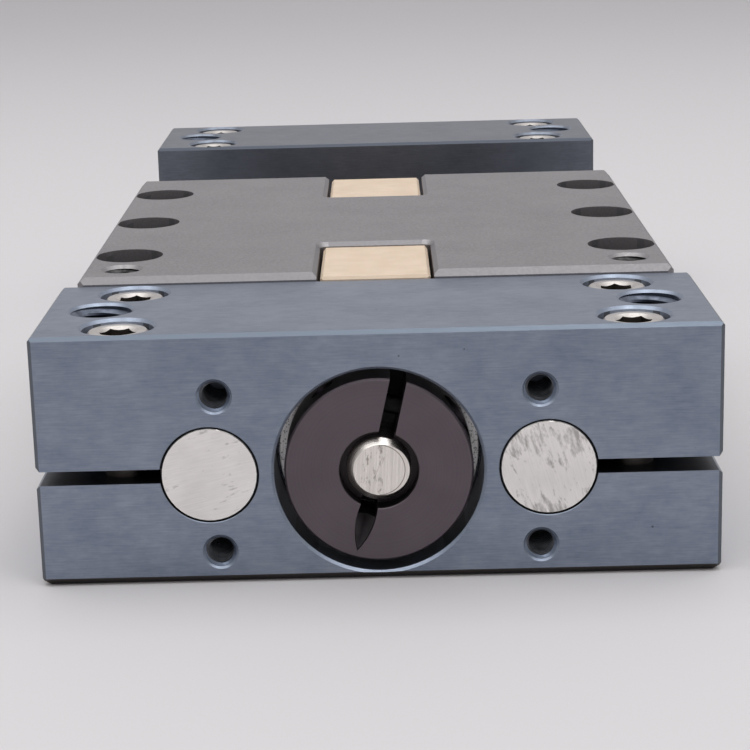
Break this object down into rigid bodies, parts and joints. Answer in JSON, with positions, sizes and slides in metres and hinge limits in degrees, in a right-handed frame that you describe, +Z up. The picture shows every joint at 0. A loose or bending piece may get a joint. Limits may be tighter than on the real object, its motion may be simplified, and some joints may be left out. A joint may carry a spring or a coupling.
{
  "type": "linear translation stage",
  "caption": "Linear stage: a carriage on guide rods between split clamp blocks, driven by a lead screw whose end carries a split clamp hub.",
  "frame": {"origin": "middle of the stage's length and width, on the underside of the end blocks", "axes": "+Y along the travel, from the hub's end towards the rear block; +Z up, from the underside towards the carriage's top; +X across the stage"},
  "size_m": [0.085, 0.1886, 0.033],
  "materials": {
    "block_anodised": "blue-grey anodised over brushed milling lines",
    "carriage_anodised": "black satin anodised",
    "hub_anodised": "black anodised with a purple tint, turned",
    "rod_steel": "ground and polished, ends sawn",
    "screw_steel": "turned",
    "fastener_steel": "plain stainless",
    "black_steel": "black oxide",
    "bearing_steel": "ground and polished",
    "shield_steel": "pressed sheet",
    "nut_plastic": "cream machined plastic",
    "cage_plastic": "moulded resin",
    "seal_rubber": "matt"
  },
  "bodies": {
    "base": {"front_block": "block_anodised", "rear_block": "block_anodised", "guide_rod_left": "rod_steel", "guide_rod_right": "rod_steel", "front_clamp_screws": "fastener_steel", "rear_clamp_screws": "fastener_steel", "front_bearing_outer_rings": "bearing_steel", "front_bearing_shields": "seal_rubber", "front_bearing_cages": "shield_steel", "front_bearing_balls": "bearing_steel", "rear_bearing_outer_ring": "bearing_steel", "rear_bearing_shields": "seal_rubber", "rear_bearing_cage": "shield_steel", "rear_bearing_balls": "bearing_steel", "rear_bearing_retainer": "black_steel"},
    "carriage": {"carriage": "carriage_anodised", "nut_front": "nut_plastic", "nut_rear": "nut_plastic", "nut_screws": "black_steel", "bushing_front_left": "bearing_steel", "bushing_front_right": "bearing_steel", "bushing_rear_left": "bearing_steel", "bushing_rear_right": "bearing_steel", "bushing_cages": "cage_plastic", "bushing_balls": "bearing_steel", "bushing_seals": "seal_rubber", "bushing_retainers": "black_steel"},
    "screw": {"lead_screw": "screw_steel", "screw_hub": "hub_anodised", "hub_clamp_screw": "black_steel", "hub_spacer": "black_steel", "front_bearing_inner_rings": "bearing_steel", "rear_bearing_inner_ring": "bearing_steel", "screw_retainer": "black_steel"}
  },
  "joints": [
    {"name": "carriage_slide", "type": "slide", "parent": "base", "child": "carriage", "axis": [0, 1, 0], "range_m": [0, 0.045]},
    {"name": "screw_spin", "type": "hinge", "parent": "base", "child": "screw", "pos_m": [0, 0, 0.0141], "axis": [0, 1, 0], "range_deg": [-4051, 1]}
  ],
  "couplings": [
    {"joint": "screw_spin", "follows": "carriage_slide", "rad_per_m": -1570.8}
  ]
}
